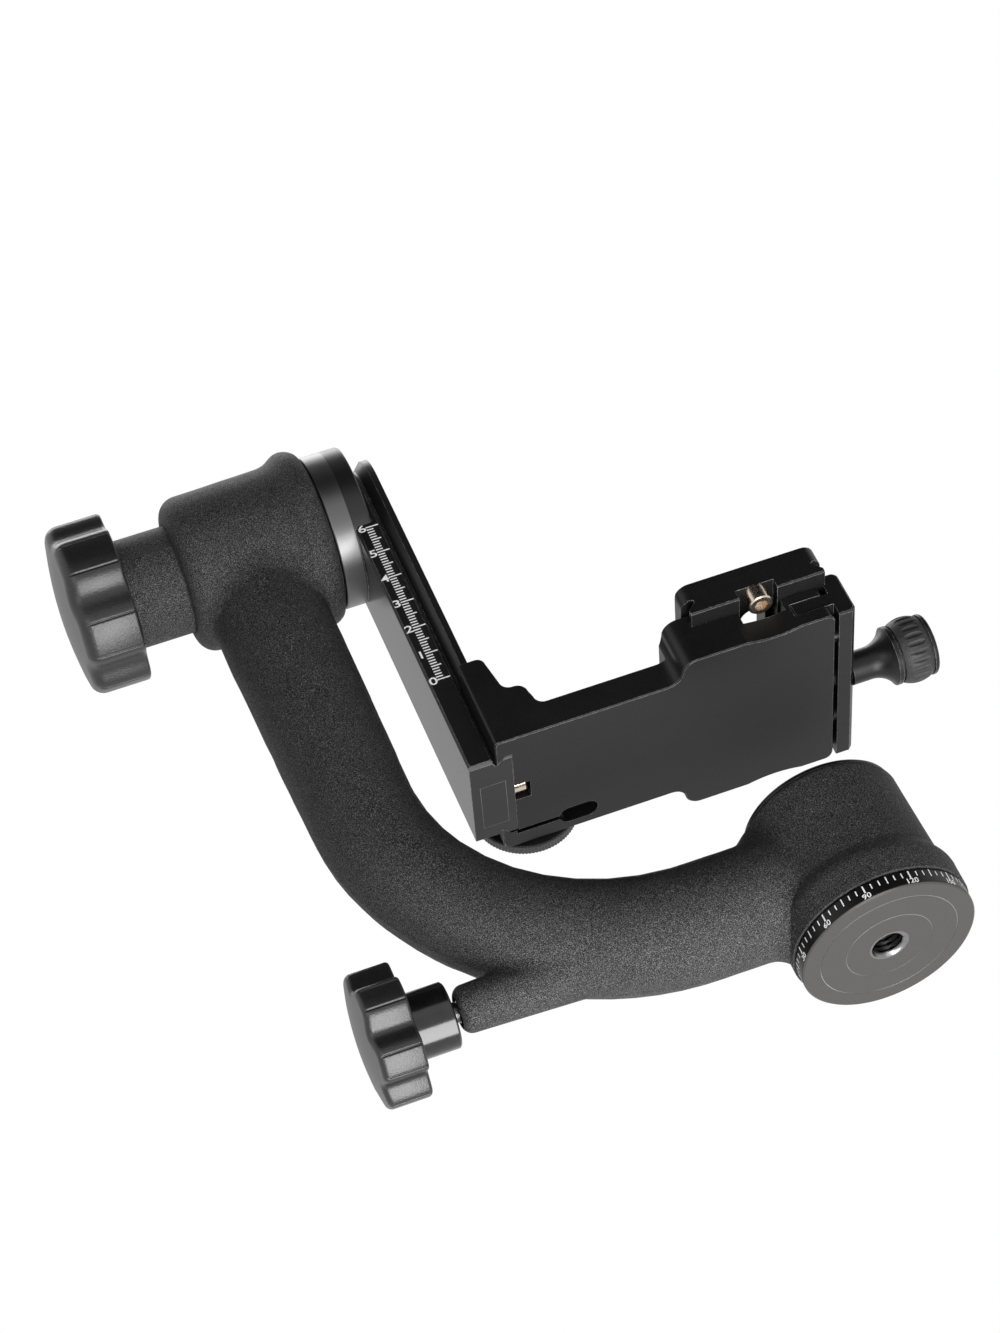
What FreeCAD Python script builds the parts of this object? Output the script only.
import FreeCAD
import Part

import math
import os

# Gimbal tripod head: a J-shaped cast arm turns on a base plate (pan), a swing plate hangs from
# the arm's upper housing (tilt), an L-shaped bracket slides up and down the swing plate, and a
# screw clamp on the bracket holds a quick-release plate.
#
# Frame: millimetres, +Z up along the pan axis, origin at the mouth of the tripod socket in the
# base plate's bottom face.  +X runs along the tilt axis from its lock knob towards the clamp knob.

# ---------------------------------------------------------------- clearances
SEAT = 0.03              # radial gap of pieces that are pressed or bolted together
RUN = 0.05               # radial gap of a running fit, and end gap of faces that rub
SLIDE = 0.10             # gap on each side of a sliding dovetail
BODY_GAP = 0.3           # gap between the faces of pieces that move past each other

# ---------------------------------------------------------------- axes
TILT_Z = 193.9           # height of the tilt axis
LOCK_Z = 23.65           # height of the pan lock axis

# ---------------------------------------------------------------- base plate and pan bearing
PLATE_R = 24.4           # base plate with the degree scale on its rim
PLATE_T = 4.6
NECK_R = 21.2            # raised neck of the base plate, inside the housing skirt
NECK_T = 2.1
FOOT_R = 12.1            # foot of the pan spindle, flush with the bottom face
FOOT_T = 2.0
FOOT_HUB_R = 9.0
RING_R = 19.3            # fine turned ring in the bottom face
RING_W = 0.4
SOCKET_R = 4.0           # 3/8-16 tripod thread, at its inner wall
SOCKET_LEN = 13.0
BUSH_R = 5.6             # outside of the threaded steel bush
PAN_SHAFT_R = 7.5
PAN_BEARING_R = 16.0
PAN_BEARING_W = 9.0
DRUM_R = 12.0            # brake drum that the pan lock presses on
DRUM_LEN = 13.2
DRUM_ROOM = 1.2          # radial room round the drum
NUT_R = 11.5
NUT_T = 4.0
CAP_R = 21.5
CAP_T = 1.4
CAP_SPIGOT_R = 17.0
CAP_SPIGOT_WALL = 2.0
CAP_SPIGOT_T = 3.0

# ---------------------------------------------------------------- cast arm
SKIRT_GAP = 0.6          # slit between the base plate's rim and the housing skirt
SKIRT_R = 25.0
SKIRT_H = 5.8            # height of the skirt's straight part
SKIRT_FLARE_H = 9.0      # height over which the skirt runs into the housing wall
HOUSING_LOW_R = 22.9
HOUSING_TOP_R = 22.2
HOUSING_TOP_Z = 45.0
HOUSING_EDGE = 1.4
ARM_Z = 25.6             # height of the arm's level run
ARM_BEND_R = 71.0        # centre-line radius of the bend
ARM_INSET = 21.1         # from the tilt housing's knob side to the arm's centre line above the bend
ARM_LEAN = 0.018         # outward lean of the upright run
ARM_R_BASE = 15.9        # arm radius at the base housing
ARM_R_BEND = 15.3        # in the bend
ARM_END_SHARE = 0.1
ARM_ROOT_X = -10.2       # end of the level run, inside the base housing
ARM_R_TOP = 16.3         # at the tilt housing
BASE_BLEND_R = 8.0       # blend between the arm and the base housing
TILT_BLEND_R = 9.0       # blend between the arm and the tilt housing, at the arm's sides
TILT_CREASE_R = 1.8      # and at its middle
BOSS_BLEND_R = 12.0      # blend below the pan lock boss
BOSS_CREASE_R = 2.0      # and above it
BOSS_TIP_X = -110.8      # pan lock boss
BOSS_TIP_R = 6.5
BOSS_ROOT_TURN = 22.0    # place of the boss's root along the bend, in degrees
BOSS_ROOT_R = 7.9
BOSS_ROUND = 3.0
BOSS_MOUTH_R = 4.4
BOSS_MOUTH_DEPTH = 2.0
BLEND_STEPS = 10         # steps in which a blend's radii shrink where there is no room for them

# ---------------------------------------------------------------- tilt housing
HOUSING_LEFT_X = -133.9  # face on the knob side
HOUSING_LEN = 42.6
HOUSING_LEFT_R = 22.9
HOUSING_MID_R = 23.4
HOUSING_ROUND = 5.6
RIM_BULGE = 2.7          # bulged rim round the swing plate side
RIM_W = 12.0
TILT_SHAFT_R = 6.0
TILT_BEARING_R = 14.0
TILT_BEARING_W = 8.0
TILT_BEARING_GAP = 8.0   # length of the spacer between the two bearings
TILT_BEARING_LIP = 1.5   # height of the shoulder between the bearing seats
RIGHT_BEARING_INSET = 4.2
FRICTION_RING_INSET = 2.9 # from the housing's middle radius to the ring's outside
FRICTION_RING_BORE = 15.0
FRICTION_RING_T = 1.4
CIRCLIP_W = 1.0
CIRCLIP_R = 8.0
CIRCLIP_DEPTH = 0.6

# ---------------------------------------------------------------- tilt lock
LOCK_TRAVEL = 0.8        # travel of a lock from slack to tight
LOCK_GAP = 0.1           # gap left at the end of that travel
TILT_SCREW_R = 5.0
TILT_SCREW_HEAD_R = 8.0
TILT_SCREW_HEAD_T = 7.0
TILT_HEAD_COVER = 5.0    # knob material behind the screw's head
TILT_PAD_R = 7.6
TILT_PAD_T = 3.0
LOCK_BUSH_FLANGE_R = 16.2
LOCK_BUSH_FLANGE_T = 1.8
SLEEVE_R = 15.9
SLEEVE_BORE = 11.0
SLEEVE_END_WALL = 4.0
SLEEVE_INSET = 3.2       # how far the sleeve reaches into the housing
SLEEVE_LEN = 19.3
TILT_KNOB_R = 25.5
TILT_KNOB_T = 18.8
TILT_KNOB_LOBE_DEPTH = 4.0
TILT_KNOB_PHASE = 5.0    # turn of the lobes, in degrees
TILT_KNOB_CROWN = 4.2    # rounding of the outer rim
TILT_KNOB_DOME = 2.0     # height of the domed outer face

# ---------------------------------------------------------------- pan lock
PAN_SCREW_R = 3.0
PAN_SCREW_TIP_X = -96.0
PAN_SCREW_HEAD_R = 5.5
PAN_SCREW_HEAD_T = 4.5
PAN_HEAD_COVER = 2.5
PAN_PAD_R = 4.0
PAN_PAD_LEN = 7.0
PAN_COLLAR_R = 9.0
PAN_COLLAR_X = -112.5
PAN_COLLAR_LEN = 11.3
PAN_KNOB_R = 19.1
PAN_KNOB_T = 13.8
PAN_KNOB_LOBE_DEPTH = 3.2
PAN_KNOB_PHASE = -2.0
PAN_KNOB_CROWN = 1.6
PAN_KNOB_DOME = 1.6

# ---------------------------------------------------------------- knob shape
KNOB_LOBES = 6
SCALLOP_SHARE = 0.6      # share of the rim taken by the hollows between the lobes
KNOB_EDGE = 1.6          # rounding of the edges beside the hollows
KNOB_GROOVE_R = 0.45     # fine groove along each side of a hollow
KNOB_GROOVE_TURN = 1.5   # its distance from the hollow's edge, in degrees

# ---------------------------------------------------------------- swing plate
HUB_R = 22.75
HUB_GAP = 0.4            # gap between the tilt housing and the hub
HUB_LEN = 11.7
SWING_LAP = 5.1          # how far the plate reaches back round the hub's end
SWING_T = 6.5            # thickness of the plate beside the rail
SWING_HALF_W = 16.4
SWING_BOTTOM_Z = 84.3
SWING_END_CHAMFER = 0.9
RAIL_PROUD = 5.7         # height of the dovetail rail on the plate
RAIL_LAND = 1.8          # flat edge of the rail
RAIL_DEPTH = 2.5         # depth of the V-groove behind the rail
RAIL_HALF_W = 16.7
AXLE_SPIGOT_R = 8.0
AXLE_SPIGOT_LEN = 9.5
AXLE_BOLT_R = 4.0
AXLE_BOLT_HEAD_R = 6.5
AXLE_BOLT_HEAD_T = 7.4
AXLE_BOLT_LEN = 22.0
AXLE_HEAD_ROOM = 0.7
AXLE_HEAD_SINK = 0.3
STOP_SCREW_R = 2.9
STOP_SCREW_Z = 87.8
STOP_SCREW_OUT = 3.9     # how far the height stop stands out of the rail
STOP_SCREW_LEN = 8.5

# ---------------------------------------------------------------- L-shaped bracket
BRACKET_HALF_W = 23.2
LIP_LEN = 4.45           # lips behind the rail's outer face
BRACKET_ROUND = 1.2      # rounding of the flange's edge on the plain side
CLAW_ROUND = 2.5         # and on the claw's side
BRACKET_CHAMFER = 0.35
PLATFORM_T = 8.75
FLANGE_TOP_Z = 113.8
FLANGE_WALL = 3.9        # wall behind the rail, at the flange's foot
FLANGE_TAPER = 1.2       # how much thinner the flange is at its top
FLANGE_ROUND = 2.2
BUMP_TOP_Z = 101.2       # shoulder that holds the lock bolt
BUMP_REACH = 3.9         # from the bolt's axis to the shoulder's side
BUMP_ROUND = 3.1
BUMP_HOLLOW = 2.8        # hollow rounding at the shoulder's top and foot
BUMP_FLARE = 0.6         # how much the shoulder's side leans out at its foot
CLAMP_REACH = 76.0       # from the rail's outer face to the clamp's centre
JAW_WALL_BACK = 28.1     # from the fixed jaw's outer wall to the clamp's centre
CLAMP_HALF_W = 30.9
CLAMP_FRONT = 17.7       # from the clamp's centre to the clamp body's end
CLAMP_ROUND = 2.5        # rounding of the clamp body's two corners
DIP_DEPTH = 1.05         # shallow dip in each of the clamp's sides
DIP_HALF_LEN = 8.0
SHOULDER_BACK = 31.1     # from the start of the S-shaped shoulders to the clamp's centre
SHOULDER_LEN = 8.8
JAW_TOP_Z = 99.5
JAW_CHAMFER = 1.5        # outer top edge of the fixed jaw
JAW_TIP_LAND = 0.4       # least flat above a jaw's tooth
CLAMP_FLOOR_Z = 95.45
CHANNEL_HALF_W = 6.1     # channel for the plate's stop screws
CHANNEL_FLOOR_Z = 91.5
SLIT_W = 1.6             # slit of the flexing claw
SLIT_OUTER_Y = 18.0
SLIT_LEN = 12.1          # from the rail's outer face
SLOT_LEN = 11.2          # round-ended slot at the slit's end
SLOT_W = 6.0

# ---------------------------------------------------------------- height lock
LOCK_BOLT_INSET = 6.3    # from the rail's outer face to the bolt's axis
LOCK_BOLT_Z = 97.7
LOCK_BOLT_R = 2.5
LOCK_BOLT_LEN = 24.0
LOCK_BOLT_TRAVEL = 0.3
LOCK_WASHER_R = 6.0
LOCK_WASHER_T = 0.8
LOCK_WHEEL_R = 15.0
LOCK_WHEEL_T = 3.4
LOCK_WHEEL_WEB = 1.4
LOCK_WHEEL_EDGE = 0.5

# ---------------------------------------------------------------- screw clamp
CLAMP_SCREW_Z = 88.6
CLAMP_SCREW_R = 3.0
CLAMP_SCREW_REACH = 11.7 # length of the clamp screw behind the moving jaw's inner face
JAW_GAP = 1.1            # gap between the clamp body and the moving jaw
MOVING_JAW_T = 5.0
MOVING_JAW_HALF_LEN = 30.6
MOVING_JAW_BOTTOM_Z = 84.3
MOVING_JAW_TOP_Z = 98.7
MOVING_JAW_ROUND = 2.0
MOVING_JAW_CHAMFER = 1.2
MOVING_JAW_EDGE = 0.5
TONGUE_W = 4.0
TONGUE_BOTTOM_Z = 88.3
TONGUE_TOP_Z = 92.2
TONGUE_LEN = 10.8
GUIDE_PIN_R = 2.0
GUIDE_PIN_Y = 17.0
GUIDE_PIN_LEN = 16.0
GUIDE_PIN_SEAT = 3.0     # depth of the pins' seats in the moving jaw
SPINDLE_R = 4.6
SPINDLE_LEN = 11.9
SPINDLE_RING_R = 8.4
SPINDLE_RING_T = 1.2
GRIP_R = 9.4
GRIP_LEN = 9.4
GRIP_CORE_R = 6.4
GRIP_GROOVE_R = 7.6      # groove between the spindle's ring and the grip
GRIP_GROOVE_W = 0.7
GRIP_CROWN = 1.2
GRIP_RIBS = 24
GRIP_RIB_DEPTH = 0.5
GRIP_HOLLOW_R = 1.0
GRIP_CAP_R = 8.7
GRIP_CAP_T = 1.3

# ---------------------------------------------------------------- quick-release plate
QR_HALF_W = 19.4         # at the dovetail
QR_TOP_HALF_W = 20.3     # upper slab of the plate
QR_LEN = 70.0
QR_START_Y = -36.0
QR_T = 10.3
QR_LAND = 1.4
QR_V_DEPTH = 2.4
QR_NECK = 0.6
QR_ROOF = 1.1
QR_CORNER_R = 4.0
QR_SLOT_HALF_W = 3.7
QR_SLOT_MARGIN = 11.5    # from each end of the plate to the slot
QR_SINK_HALF_W = 6.1
QR_SINK_DEPTH = 4.2
QR_GROOVE_HALF_W = 5.5   # groove along the underside, open at both ends
QR_GROOVE_H = 3.0
QR_END_CHAMFER = 0.4
QR_PAD_W = 8.0
QR_PAD_INSET = 2.2       # from the slot's side to the grip strip
QR_PAD_T = 1.0
QR_PAD_PROUD = 0.4
QR_PAD_MARGIN = 4.5
END_SCREW_R = 2.6
END_SCREW_HEAD_R = 3.5
END_SCREW_INSET = 3.2
END_SCREW_DROP = 1.9     # how far the head stands out below the plate
END_SCREW_ROOF = 2.0     # plate left above the screw
END_SCREW_EDGE = 0.35
END_SCREW_SOCKET_R = 2.0
END_SCREW_SOCKET_DEPTH = 2.0
CAMERA_SCREW_R = 3.175
CAMERA_SCREW_OUT = 5.0   # thread that stands out of the plate
CAMERA_NECK_R = 2.5      # relief below the thread, which keeps the screw captive
CAMERA_NECK_OUT = 0.3
CAMERA_SCREW_Y = 9.0
CAMERA_HEAD_R = 5.8
CAMERA_HEAD_T = 2.6
COIN_SLOT_W = 1.6
COIN_SLOT_DEPTH = 1.2
CAMERA_CLIP_R = 4.6
CAMERA_CLIP_T = 0.6

OUT = "parts"


# ---------------------------------------------------------------- helpers
def vec(x, y, z):
    return FreeCAD.Vector(x, y, z)


def cylinder_x(radius, x0, x1, y=0.0, z=0.0):
    return Part.makeCylinder(radius, x1 - x0, vec(x0, y, z), vec(1, 0, 0))


def cylinder_y(radius, y0, y1, x=0.0, z=0.0):
    return Part.makeCylinder(radius, y1 - y0, vec(x, y0, z), vec(0, 1, 0))


def cylinder_z(radius, z0, z1, x=0.0, y=0.0):
    return Part.makeCylinder(radius, z1 - z0, vec(x, y, z0), vec(0, 0, 1))


def box(x0, x1, y0, y1, z0, z1):
    return Part.makeBox(x1 - x0, y1 - y0, z1 - z0, vec(x0, y0, z0))


def hexagon_prism_z(across, z0, z1, x, y):
    """Six-sided prism of the given corner radius, for a hexagon socket."""
    corners = [vec(x + across * math.cos(k * math.pi / 3), y + across * math.sin(k * math.pi / 3), z0)
               for k in range(7)]
    return Part.Face(Part.makePolygon(corners)).extrude(vec(0, 0, z1 - z0))


def outline(start, *moves):
    """Closed wire in the XY plane. A move is a point, or a pair (point on the arc, end point)."""
    edges = []
    here = start
    for move in list(moves) + [start]:
        if isinstance(move[0], tuple):
            middle, end = move
            arc = Part.Arc(vec(*here, 0), vec(*middle, 0), vec(*end, 0))
            edges.append(arc.toShape())
        else:
            end = move
            if math.dist(here, end) > 1e-6:
                edges.append(Part.makeLine(vec(*here, 0), vec(*end, 0)))
        here = end
    return Part.Wire(edges)


def turned_z(wire):
    """Solid turned about Z from a wire of (radius, height) points."""
    face = Part.Face(wire)
    face.rotate(vec(0, 0, 0), vec(1, 0, 0), 90)
    return face.revolve(vec(0, 0, 0), vec(0, 0, 1), 360)


def turned_x(wire, z):
    """Solid turned about the X axis at height z from a wire of (x, radius) points."""
    solid = Part.Face(wire).revolve(vec(0, 0, 0), vec(1, 0, 0), 360)
    solid.translate(vec(0, 0, z))
    return solid


def prism_y(wire, y0, y1):
    """Prism along Y from a wire of (x, z) points."""
    face = Part.Face(wire)
    face.rotate(vec(0, 0, 0), vec(1, 0, 0), 90)
    face.translate(vec(0, y0, 0))
    return face.extrude(vec(0, y1 - y0, 0))


def prism_z(wire, z0, z1):
    """Prism along Z from a wire of (x, y) points."""
    face = Part.Face(wire)
    face.translate(vec(0, 0, z0))
    return face.extrude(vec(0, 0, z1 - z0))


def union(first, *rest):
    return first.fuse(list(rest)).removeSplitter()


def blended(body, chosen, radius_at):
    """Body with the chosen edges rounded, each with the radii wanted at its two ends.

    Where there is no room for those radii they all shrink together until the blend closes."""
    for step in range(BLEND_STEPS):
        share = 1.0 - step / BLEND_STEPS
        document = FreeCAD.newDocument("blend")
        form = document.addObject("Part::Feature", "form")
        form.Shape = body
        fillet = document.addObject("Part::Fillet", "fillet")
        fillet.Base = form
        fillet.Edges = [(number, share * radius_at(edge.valueAt(edge.FirstParameter)),
                         share * radius_at(edge.valueAt(edge.LastParameter)))
                        for number, edge in enumerate(body.Edges, 1) if chosen(edge)]
        document.recompute()
        shape = fillet.Shape.copy()
        FreeCAD.closeDocument(document.Name)
        if not shape.isNull() and shape.isValid():
            break
    return shape


def is_seam(edge):
    """True for the free-form curves along which two forms meet."""
    return edge.Curve.TypeId == "Part::GeomBSplineCurve"


def arc_middle(centre, radius, degrees):
    angle = math.radians(degrees)
    return (centre[0] + radius * math.cos(angle), centre[1] + radius * math.sin(angle))


def sealed_bearing_x(outer, inner, x0, width, z):
    """Ball bearing with shields, closed on both faces, turned about X."""
    wall = (outer - inner) * 0.22
    dish = width * 0.07
    wire = outline((x0, inner), (x0, inner + wall), (x0 + dish, inner + wall),
                   (x0 + dish, outer - wall), (x0, outer - wall), (x0, outer),
                   (x0 + width, outer), (x0 + width, outer - wall),
                   (x0 + width - dish, outer - wall), (x0 + width - dish, inner + wall),
                   (x0 + width, inner + wall), (x0 + width, inner))
    return turned_x(wire, z)


def sealed_bearing_z(outer, inner, z0, width):
    """The same bearing, turned about Z."""
    bearing = sealed_bearing_x(outer, inner, 0, width, 0)
    bearing.rotate(vec(0, 0, 0), vec(0, 1, 0), -90)
    bearing.translate(vec(0, 0, z0))
    return bearing


def lobed_knob(radius, lobe_depth, x_out, x_in, z, phase, crown, dome):
    """Star knob about the X axis: convex lobes with hollows between them, domed outer face."""
    pitch = 2 * math.pi / KNOB_LOBES
    half_hollow = pitch * SCALLOP_SHARE / 2

    def at(reach, angle):
        return (reach * math.cos(angle), reach * math.sin(angle))

    points = []
    for k in range(KNOB_LOBES):
        lobe = k * pitch
        hollow = lobe + pitch / 2
        points.append((at(radius, lobe), at(radius, hollow - half_hollow)))
        points.append((at(radius - lobe_depth, hollow), at(radius, hollow + half_hollow)))
    star = prism_z(outline(at(radius, half_hollow - pitch / 2), *points), 0, x_in - x_out)
    star.rotate(vec(0, 0, 0), vec(0, 0, 1), 90 + phase)
    star.rotate(vec(0, 0, 0), vec(0, 1, 0), 90)
    star.translate(vec(x_out, 0, z))
    upright = [e for e in star.Edges if abs(e.BoundBox.XLength - (x_in - x_out)) < 1e-6]
    star = star.makeFillet(KNOB_EDGE, upright)
    reach = radius + 0.5
    face_r = reach - crown
    corner = (x_out + dome + crown, face_r)
    form = turned_x(outline((x_out, 0), ((x_out + dome * 0.25, face_r / 2), (x_out + dome, face_r)),
                            (arc_middle(corner, crown, 135), (x_out + dome + crown, reach)),
                            (x_in - 1.0, reach), (x_in, reach - 1.5), (x_in, 0)), z)
    grooves = []
    for k in range(KNOB_LOBES):
        for side in (-1, 1):
            turn = math.radians(90 + phase) + (k + 0.5) * pitch
            turn += side * (half_hollow + math.radians(KNOB_GROOVE_TURN))
            grooves.append(cylinder_x(KNOB_GROOVE_R, x_out + dome + crown * 0.9, x_in + 1,
                                      radius * math.cos(turn), z + radius * math.sin(turn)))
    return star.common(form).cut(grooves)


# ---------------------------------------------------------------- derived places: pan axis
NECK_TOP = PLATE_T + NECK_T
LOW_BEARING_Z = NECK_TOP + BODY_GAP
DRUM_Z = LOW_BEARING_Z + PAN_BEARING_W + 0.4
HIGH_BEARING_Z = DRUM_Z + DRUM_LEN + 0.4
NUT_Z = HIGH_BEARING_Z + PAN_BEARING_W + RUN
SPINDLE_TOP = NUT_Z + NUT_T + 0.5
ARM_BOTTOM_Z = PLATE_T + SKIRT_GAP


def base_plate():
    ring = outline((RING_R - RING_W / 2, 0), (RING_R, RING_W / 2), (RING_R + RING_W / 2, 0))
    body = turned_z(outline((FOOT_HUB_R + SEAT, FOOT_T), (FOOT_R + SEAT, FOOT_T), (FOOT_R + SEAT, 0),
                            (PLATE_R - 0.5, 0), (PLATE_R, 0.5), (PLATE_R, PLATE_T),
                            (NECK_R, PLATE_T), (NECK_R, NECK_TOP), (FOOT_HUB_R + SEAT, NECK_TOP)))
    return body.cut(turned_z(ring))


def pan_spindle():
    thread_r = PAN_SHAFT_R - 0.6
    return turned_z(outline((BUSH_R + SEAT, 0), (FOOT_R, 0), (FOOT_R, FOOT_T), (FOOT_HUB_R, FOOT_T),
                            (FOOT_HUB_R, LOW_BEARING_Z - RUN), (PAN_SHAFT_R, LOW_BEARING_Z - RUN),
                            (PAN_SHAFT_R, DRUM_Z), (DRUM_R, DRUM_Z), (DRUM_R, DRUM_Z + DRUM_LEN),
                            (PAN_SHAFT_R, DRUM_Z + DRUM_LEN), (PAN_SHAFT_R, NUT_Z),
                            (thread_r, NUT_Z), (thread_r, SPINDLE_TOP), (0, SPINDLE_TOP),
                            (0, SOCKET_LEN + 0.3), (BUSH_R + SEAT, SOCKET_LEN + 0.3)))


def tripod_bush():
    return turned_z(outline((SOCKET_R, 0), (BUSH_R, 0), (BUSH_R, SOCKET_LEN), (SOCKET_R, SOCKET_LEN)))


def pan_bearings():
    low = sealed_bearing_z(PAN_BEARING_R - SEAT, PAN_SHAFT_R + RUN, LOW_BEARING_Z, PAN_BEARING_W)
    high = sealed_bearing_z(PAN_BEARING_R - SEAT, PAN_SHAFT_R + RUN, HIGH_BEARING_Z, PAN_BEARING_W)
    return Part.makeCompound([low, high])


def pan_nut():
    bore = PAN_SHAFT_R - 0.6 + SEAT
    body = turned_z(outline((bore, NUT_Z), (NUT_R, NUT_Z), (NUT_R, NUT_Z + NUT_T - 0.6),
                            (NUT_R - 0.6, NUT_Z + NUT_T), (bore, NUT_Z + NUT_T)))
    for k in range(4):
        notch = box(NUT_R - 2.0, NUT_R + 1.0, -1.5, 1.5, NUT_Z - 1, NUT_Z + NUT_T + 1)
        notch.rotate(vec(0, 0, 0), vec(0, 0, 1), 90 * k)
        body = body.cut(notch)
    return body


def base_cap():
    spigot = CAP_SPIGOT_R - SEAT
    low = HOUSING_TOP_Z - CAP_SPIGOT_T
    top = HOUSING_TOP_Z + CAP_T
    return turned_z(outline((spigot - CAP_SPIGOT_WALL, low), (spigot, low), (spigot, HOUSING_TOP_Z),
                            (CAP_R, HOUSING_TOP_Z), (CAP_R, top - 0.5), (CAP_R - 0.5, top), (0, top),
                            (0, HOUSING_TOP_Z), (spigot - CAP_SPIGOT_WALL, HOUSING_TOP_Z)))


# ---------------------------------------------------------------- derived places: tilt axis
HOUSING_RIGHT_X = HOUSING_LEFT_X + HOUSING_LEN
HUB_LEFT_X = HOUSING_RIGHT_X + HUB_GAP
HUB_RIGHT_X = HUB_LEFT_X + HUB_LEN
SWING_LEFT_X = HUB_RIGHT_X - SWING_LAP
SWING_RIGHT_X = SWING_LEFT_X + SWING_T
RAIL_OUT_X = SWING_RIGHT_X + RAIL_PROUD
ARM_TOP_X = HOUSING_LEFT_X + ARM_INSET
ARM_BEND_X = ARM_TOP_X + ARM_BEND_R
ARM_BEND_Z = ARM_Z + ARM_BEND_R
BOSS_ROOT_X = ARM_BEND_X - ARM_BEND_R * math.sin(math.radians(BOSS_ROOT_TURN))
ARM_END_Z = TILT_Z - TILT_SHAFT_R - 2
FRICTION_RING_R = HOUSING_MID_R - FRICTION_RING_INSET
BEARING_R_X = HOUSING_RIGHT_X - RIGHT_BEARING_INSET - TILT_BEARING_W
BEARING_L_X = BEARING_R_X - TILT_BEARING_GAP - TILT_BEARING_W
CIRCLIP_X = BEARING_L_X - RUN - CIRCLIP_W
SHAFT_END_X = CIRCLIP_X - 1.2
PAD_FACE_X = SHAFT_END_X - LOCK_TRAVEL - LOCK_GAP
PAD_BACK_X = PAD_FACE_X - TILT_PAD_T
LOCK_BUSH_END_X = BEARING_L_X - CIRCLIP_W - 1.8
LOCK_FLANGE_X = HOUSING_LEFT_X + SLEEVE_INSET + LOCK_TRAVEL + LOCK_GAP
SLEEVE_END_X = HOUSING_LEFT_X + SLEEVE_INSET
KNOB_BACK_X = SLEEVE_END_X - SLEEVE_LEN
KNOB_FACE_X = KNOB_BACK_X - TILT_KNOB_T

SKIRT_FLARE_Z = ARM_BOTTOM_Z + SKIRT_H
WALL_Z = SKIRT_FLARE_Z + SKIRT_FLARE_H


def skirt_form():
    """Low skirt that runs into the base housing's wall with an S-shaped flare."""
    mid_r = (SKIRT_R + HOUSING_LOW_R) / 2
    mid_z = (SKIRT_FLARE_Z + WALL_Z) / 2
    bow = (SKIRT_R - HOUSING_LOW_R) * 0.2
    return turned_z(outline((0, ARM_BOTTOM_Z), (SKIRT_R, ARM_BOTTOM_Z), (SKIRT_R, SKIRT_FLARE_Z),
                            ((mid_r + (SKIRT_R - mid_r) * 0.5 + bow, (SKIRT_FLARE_Z + mid_z) / 2),
                             (mid_r, mid_z)),
                            ((mid_r - (mid_r - HOUSING_LOW_R) * 0.5 - bow, (WALL_Z + mid_z) / 2),
                             (HOUSING_LOW_R, WALL_Z)), (0, WALL_Z)))


def wall_form():
    """Slightly tapered wall of the base housing, longer than needed at both ends."""
    margin = 20.0
    taper = (HOUSING_LOW_R - HOUSING_TOP_R) / (HOUSING_TOP_Z - WALL_Z)
    low, high = ARM_BOTTOM_Z - margin, HOUSING_TOP_Z + margin
    return turned_z(outline((0, low), (HOUSING_LOW_R + taper * (WALL_Z - low), low),
                            (HOUSING_LOW_R - taper * (high - WALL_Z), high), (0, high)))


def wall_trim():
    """Rings and slabs that cut the wall to height and round its top edge."""
    edge = HOUSING_EDGE
    reach = SKIRT_R * 2
    top_r = HOUSING_TOP_R - edge
    corner = (top_r, HOUSING_TOP_Z - edge)
    below = cylinder_z(reach, -reach, ARM_BOTTOM_Z)
    above = turned_z(outline((0, HOUSING_TOP_Z), (top_r, HOUSING_TOP_Z),
                             (arc_middle(corner, edge, 45), (HOUSING_TOP_R, HOUSING_TOP_Z - edge)),
                             (reach, HOUSING_TOP_Z - edge), (reach, reach * 2), (0, reach * 2)))
    return [below, above]


def arm_form():
    """Round arm of changing thickness: level run, quarter bend, slightly leaning upright run."""
    bend_x = ARM_BEND_X
    bend_z = ARM_BEND_Z
    wires = []

    def ring(x, z, radius, degrees):
        angle = math.radians(degrees)
        circle = Part.Circle(vec(x, 0, z), vec(-math.cos(angle), 0, math.sin(angle)), radius)
        wires.append(Part.Wire([circle.toShape()]))

    for step in range(3, 0, -1):
        ring(bend_x + (ARM_ROOT_X - bend_x) * step / 3, ARM_Z, ARM_R_BASE, 0)
    for step in range(10):
        angle = math.radians(10 * step)
        share = math.cos(2 * angle)
        radius = ARM_R_BEND + (ARM_R_BASE - ARM_R_BEND) * max(share, share * ARM_END_SHARE)
        ring(bend_x - ARM_BEND_R * math.sin(angle), bend_z - ARM_BEND_R * math.cos(angle),
             radius, 10 * step)
    runs = 8
    for step in range(1, runs + 1):
        rise = (ARM_END_Z - bend_z) * step / runs
        radius = ARM_R_BEND + (ARM_R_TOP - ARM_R_BEND) * min(1.0, step / 5)
        ring(bend_x - ARM_BEND_R - ARM_LEAN * rise, bend_z + rise, radius, 90)
    return Part.makeLoft(wires, True, False)


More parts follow.
